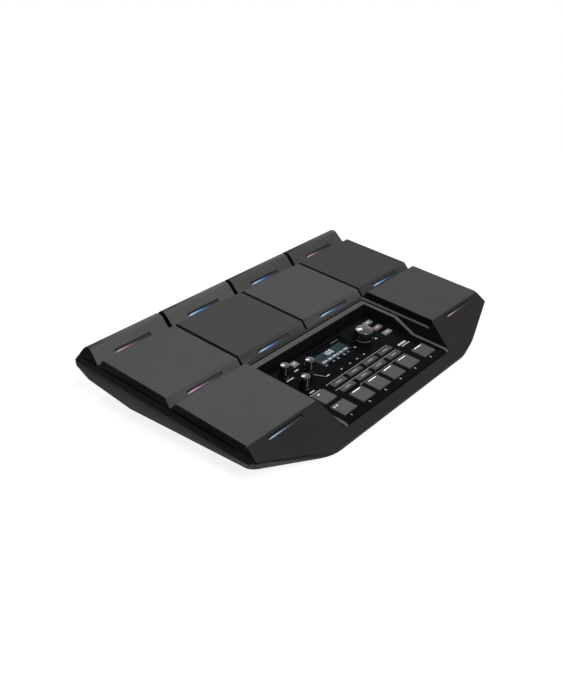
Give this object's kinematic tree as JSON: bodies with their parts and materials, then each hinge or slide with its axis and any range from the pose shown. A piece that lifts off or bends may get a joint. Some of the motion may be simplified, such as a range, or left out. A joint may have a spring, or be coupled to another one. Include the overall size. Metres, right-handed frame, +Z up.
{
  "type": "sampling percussion pad",
  "caption": "Table-top electronic percussion pad with rubber playing pads on a sloping deck, lit slots, and a recessed panel of buttons, knobs, a dial and a display.",
  "frame": {"origin": "on the floor plane, under the middle of the object's box", "axes": "+X to the player's right, +Y away from the player, +Z up"},
  "size_m": [0.4158, 0.2704, 0.0668],
  "materials": {
    "pad_rubber": "matte moulded rubber, finely grained",
    "foot_rubber": "matte",
    "upper_case": "satin moulded",
    "lower_case": "fine texture",
    "bezel": "satin moulded",
    "panel": "gloss, printed",
    "window": "clear",
    "screen": "lit liquid crystal display",
    "button": "satin",
    "knob": "gloss",
    "light_bar": "lit, frosted",
    "black_plastic": "satin",
    "power_cap": "satin",
    "circuit_board": "solder mask",
    "sensor_film": "film",
    "steel": "plated",
    "bright_metal": "nickel plated",
    "insert_brass": "turned"
  },
  "bodies": {
    "case": {"top_case": "upper_case", "bottom_case": "lower_case", "case_screws": "steel", "feet": "foot_rubber", "mount_inserts": "insert_brass", "light_bars": "light_bar", "light_boards": "circuit_board", "pad_sensors": "sensor_film", "panel_bezel": "bezel", "panel_plate": "panel", "display_window": "window", "display_module": "screen", "tact_switches": "black_plastic", "rotary_bodies": "black_plastic", "panel_board": "circuit_board", "main_board": "circuit_board", "board_screws": "steel", "audio_jacks": "black_plastic", "jack_nuts": "bright_metal", "usb_socket": "bright_metal", "power_inlet": "black_plastic", "power_switch": "black_plastic"},
    "rear_pad_1": {"rear_pad_1": "pad_rubber"},
    "rear_pad_2": {"rear_pad_2": "pad_rubber"},
    "rear_pad_3": {"rear_pad_3": "pad_rubber"},
    "rear_pad_4": {"rear_pad_4": "pad_rubber"},
    "mid_pad_1": {"mid_pad_1": "pad_rubber"},
    "mid_pad_2": {"mid_pad_2": "pad_rubber"},
    "mid_pad_3": {"mid_pad_3": "pad_rubber"},
    "mid_pad_4": {"mid_pad_4": "pad_rubber"},
    "front_pad_left": {"front_pad_left": "pad_rubber"},
    "front_pad_right": {"front_pad_right": "pad_rubber"},
    "front_button_1": {"front_button_1": "button"},
    "front_button_2": {"front_button_2": "button"},
    "front_button_3": {"front_button_3": "button"},
    "front_button_4": {"front_button_4": "button"},
    "front_button_5": {"front_button_5": "button"},
    "front_button_6": {"front_button_6": "button"},
    "row_button_1": {"row_button_1": "button"},
    "row_button_2": {"row_button_2": "button"},
    "row_button_3": {"row_button_3": "button"},
    "row_button_4": {"row_button_4": "button"},
    "row_button_5": {"row_button_5": "button"},
    "row_button_6": {"row_button_6": "button"},
    "row_button_7": {"row_button_7": "button"},
    "row_button_8": {"row_button_8": "button"},
    "corner_button": {"corner_button": "button"},
    "square_button": {"square_button": "button"},
    "side_button_1": {"side_button_1": "button"},
    "side_button_2": {"side_button_2": "button"},
    "side_button_3": {"side_button_3": "button"},
    "power_button": {"power_button": "power_cap"},
    "knob_1": {"knob_1": "knob", "knob_shaft_1": "steel"},
    "knob_2": {"knob_2": "knob", "knob_shaft_2": "steel"},
    "knob_3": {"knob_3": "knob", "knob_shaft_3": "steel"},
    "dial": {"dial": "knob", "dial_shaft": "steel"}
  },
  "joints": [
    {"name": "rear_pad_1_press", "type": "slide", "parent": "case", "child": "rear_pad_1", "axis": [0, -0.0924, 0.9957], "range_m": [-0.0008, 0], "stiffness_N_per_m": 6000, "springref_m": 0.0005},
    {"name": "rear_pad_2_press", "type": "slide", "parent": "case", "child": "rear_pad_2", "axis": [0, -0.0924, 0.9957], "range_m": [-0.0008, 0], "stiffness_N_per_m": 6000, "springref_m": 0.0005},
    {"name": "rear_pad_3_press", "type": "slide", "parent": "case", "child": "rear_pad_3", "axis": [0, -0.0924, 0.9957], "range_m": [-0.0008, 0], "stiffness_N_per_m": 6000, "springref_m": 0.0005},
    {"name": "rear_pad_4_press", "type": "slide", "parent": "case", "child": "rear_pad_4", "axis": [0, -0.0924, 0.9957], "range_m": [-0.0008, 0], "stiffness_N_per_m": 6000, "springref_m": 0.0005},
    {"name": "mid_pad_1_press", "type": "slide", "parent": "case", "child": "mid_pad_1", "axis": [0, -0.0924, 0.9957], "range_m": [-0.0008, 0], "stiffness_N_per_m": 6000, "springref_m": 0.0005},
    {"name": "mid_pad_2_press", "type": "slide", "parent": "case", "child": "mid_pad_2", "axis": [0, -0.0924, 0.9957], "range_m": [-0.0008, 0], "stiffness_N_per_m": 6000, "springref_m": 0.0005},
    {"name": "mid_pad_3_press", "type": "slide", "parent": "case", "child": "mid_pad_3", "axis": [0, -0.0924, 0.9957], "range_m": [-0.0008, 0], "stiffness_N_per_m": 6000, "springref_m": 0.0005},
    {"name": "mid_pad_4_press", "type": "slide", "parent": "case", "child": "mid_pad_4", "axis": [0, -0.0924, 0.9957], "range_m": [-0.0008, 0], "stiffness_N_per_m": 6000, "springref_m": 0.0005},
    {"name": "front_pad_left_press", "type": "slide", "parent": "case", "child": "front_pad_left", "axis": [0, -0.0924, 0.9957], "range_m": [-0.0008, 0], "stiffness_N_per_m": 6000, "springref_m": 0.0005},
    {"name": "front_pad_right_press", "type": "slide", "parent": "case", "child": "front_pad_right", "axis": [0, -0.0924, 0.9957], "range_m": [-0.0008, 0], "stiffness_N_per_m": 6000, "springref_m": 0.0005},
    {"name": "front_button_1_press", "type": "slide", "parent": "case", "child": "front_button_1", "axis": [0, -0.0924, 0.9957], "range_m": [-0.0006, 0], "stiffness_N_per_m": 800, "springref_m": 0.0004},
    {"name": "front_button_2_press", "type": "slide", "parent": "case", "child": "front_button_2", "axis": [0, -0.0924, 0.9957], "range_m": [-0.0006, 0], "stiffness_N_per_m": 800, "springref_m": 0.0004},
    {"name": "front_button_3_press", "type": "slide", "parent": "case", "child": "front_button_3", "axis": [0, -0.0924, 0.9957], "range_m": [-0.0006, 0], "stiffness_N_per_m": 800, "springref_m": 0.0004},
    {"name": "front_button_4_press", "type": "slide", "parent": "case", "child": "front_button_4", "axis": [0, -0.0924, 0.9957], "range_m": [-0.0006, 0], "stiffness_N_per_m": 800, "springref_m": 0.0004},
    {"name": "front_button_5_press", "type": "slide", "parent": "case", "child": "front_button_5", "axis": [0, -0.0924, 0.9957], "range_m": [-0.0006, 0], "stiffness_N_per_m": 800, "springref_m": 0.0004},
    {"name": "front_button_6_press", "type": "slide", "parent": "case", "child": "front_button_6", "axis": [0, -0.0924, 0.9957], "range_m": [-0.0006, 0], "stiffness_N_per_m": 800, "springref_m": 0.0004},
    {"name": "row_button_1_press", "type": "slide", "parent": "case", "child": "row_button_1", "axis": [0, -0.0924, 0.9957], "range_m": [-0.0006, 0], "stiffness_N_per_m": 800, "springref_m": 0.0004},
    {"name": "row_button_2_press", "type": "slide", "parent": "case", "child": "row_button_2", "axis": [0, -0.0924, 0.9957], "range_m": [-0.0006, 0], "stiffness_N_per_m": 800, "springref_m": 0.0004},
    {"name": "row_button_3_press", "type": "slide", "parent": "case", "child": "row_button_3", "axis": [0, -0.0924, 0.9957], "range_m": [-0.0006, 0], "stiffness_N_per_m": 800, "springref_m": 0.0004},
    {"name": "row_button_4_press", "type": "slide", "parent": "case", "child": "row_button_4", "axis": [0, -0.0924, 0.9957], "range_m": [-0.0006, 0], "stiffness_N_per_m": 800, "springref_m": 0.0004},
    {"name": "row_button_5_press", "type": "slide", "parent": "case", "child": "row_button_5", "axis": [0, -0.0924, 0.9957], "range_m": [-0.0006, 0], "stiffness_N_per_m": 800, "springref_m": 0.0004},
    {"name": "row_button_6_press", "type": "slide", "parent": "case", "child": "row_button_6", "axis": [0, -0.0924, 0.9957], "range_m": [-0.0006, 0], "stiffness_N_per_m": 800, "springref_m": 0.0004},
    {"name": "row_button_7_press", "type": "slide", "parent": "case", "child": "row_button_7", "axis": [0, -0.0924, 0.9957], "range_m": [-0.0006, 0], "stiffness_N_per_m": 800, "springref_m": 0.0004},
    {"name": "row_button_8_press", "type": "slide", "parent": "case", "child": "row_button_8", "axis": [0, -0.0924, 0.9957], "range_m": [-0.0006, 0], "stiffness_N_per_m": 800, "springref_m": 0.0004},
    {"name": "corner_button_press", "type": "slide", "parent": "case", "child": "corner_button", "axis": [0, -0.0924, 0.9957], "range_m": [-0.0006, 0], "stiffness_N_per_m": 800, "springref_m": 0.0004},
    {"name": "square_button_press", "type": "slide", "parent": "case", "child": "square_button", "axis": [0, -0.0924, 0.9957], "range_m": [-0.0006, 0], "stiffness_N_per_m": 800, "springref_m": 0.0004},
    {"name": "side_button_1_press", "type": "slide", "parent": "case", "child": "side_button_1", "axis": [0, -0.0924, 0.9957], "range_m": [-0.0006, 0], "stiffness_N_per_m": 800, "springref_m": 0.0004},
    {"name": "side_button_2_press", "type": "slide", "parent": "case", "child": "side_button_2", "axis": [0, -0.0924, 0.9957], "range_m": [-0.0006, 0], "stiffness_N_per_m": 800, "springref_m": 0.0004},
    {"name": "side_button_3_press", "type": "slide", "parent": "case", "child": "side_button_3", "axis": [0, -0.0924, 0.9957], "range_m": [-0.0006, 0], "stiffness_N_per_m": 800, "springref_m": 0.0004},
    {"name": "power_button_press", "type": "slide", "parent": "case", "child": "power_button", "axis": [0, 1, 0], "range_m": [-0.002, 0], "stiffness_N_per_m": 500, "springref_m": 0.002},
    {"name": "knob_1_turn", "type": "hinge", "parent": "case", "child": "knob_1", "pos_m": [-0.0766, -0.05929, 0.02569], "axis": [0, -0.0924, 0.9957], "range_deg": [-300, 0]},
    {"name": "knob_2_turn", "type": "hinge", "parent": "case", "child": "knob_2", "pos_m": [-0.0766, -0.03211, 0.02821], "axis": [0, -0.0924, 0.9957], "range_deg": [-300, 0]},
    {"name": "knob_3_turn", "type": "hinge", "parent": "case", "child": "knob_3", "pos_m": [-0.0499, -0.04356, 0.02714], "axis": [0, -0.0924, 0.9957], "range_deg": [-300, 0]},
    {"name": "dial_turn", "type": "hinge", "parent": "case", "child": "dial", "pos_m": [0.045, -0.04575, 0.02694], "axis": [0, -0.0924, 0.9957], "continuous": true}
  ]
}
